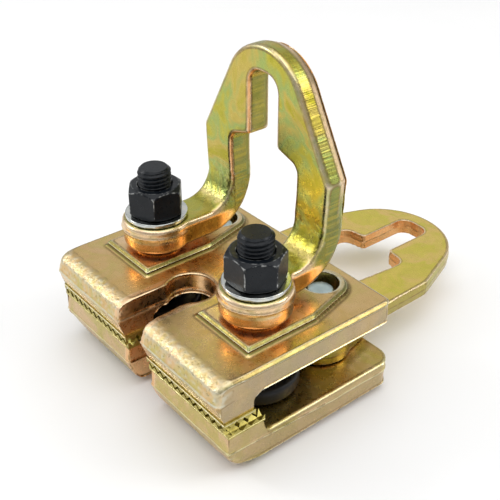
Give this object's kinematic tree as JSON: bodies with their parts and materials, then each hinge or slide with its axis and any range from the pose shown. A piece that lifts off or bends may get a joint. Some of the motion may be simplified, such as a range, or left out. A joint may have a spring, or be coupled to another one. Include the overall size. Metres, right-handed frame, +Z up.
{
  "type": "pulling clamp",
  "caption": "Steel pulling clamp with toothed jaws, closed by nuts, an upright pull ring and a flat pull eye behind.",
  "frame": {"origin": "bottom centre of the whole clamp, between the two pads under the lower jaw", "axes": "+X across the clamp, +Y along it from the toothed mouth to the tip of the flat pull eye, +Z up along the bolts"},
  "size_m": [0.1344, 0.2, 0.1552],
  "materials": {
    "yellow_zinc": "forged steel, bright yellow passivated zinc",
    "black_oxide": "black oxide",
    "white_zinc": "bright white zinc",
    "black_rubber": "smooth black rubber",
    "spring_steel": "plain spring wire"
  },
  "bodies": {
    "base": {"lower_jaw": "yellow_zinc", "pull_eye": "yellow_zinc", "clamp_bolt_left": "black_oxide", "clamp_bolt_right": "black_oxide", "fulcrum_pin_left": "white_zinc", "fulcrum_pin_right": "white_zinc", "cushion_left": "black_rubber", "cushion_right": "black_rubber", "return_spring_left": "spring_steel", "return_spring_right": "spring_steel"},
    "ring": {"pull_ring": "yellow_zinc", "flat_washer_left": "white_zinc", "flat_washer_right": "white_zinc"},
    "top_jaw": {"upper_jaw": "yellow_zinc"},
    "nut_left": {"clamp_nut_left": "black_oxide"},
    "nut_right": {"clamp_nut_right": "black_oxide"}
  },
  "joints": [
    {"name": "jaw_lift", "type": "slide", "parent": "base", "child": "ring", "axis": [0, 0, 1], "range_m": [0, 0.0088], "deforming": ["return_spring_left", "return_spring_right"]},
    {"name": "jaw_rock", "type": "hinge", "parent": "ring", "child": "top_jaw", "pos_m": [0, -0.0571, 0.06], "axis": [1, 0, 0], "range_deg": [0, 1.2]},
    {"name": "nut_spin_left", "type": "hinge", "parent": "ring", "child": "nut_left", "pos_m": [-0.0375, -0.0571, 0.079], "axis": [0, 0, 1], "range_deg": [0, 1584.5]},
    {"name": "nut_spin_right", "type": "hinge", "parent": "ring", "child": "nut_right", "pos_m": [0.0375, -0.0571, 0.079], "axis": [0, 0, 1], "range_deg": [0, 1584.5]}
  ],
  "couplings": [
    {"joint": "nut_spin_left", "follows": "jaw_lift", "rad_per_m": 3141.6},
    {"joint": "nut_spin_right", "follows": "jaw_lift", "rad_per_m": 3141.6}
  ]
}
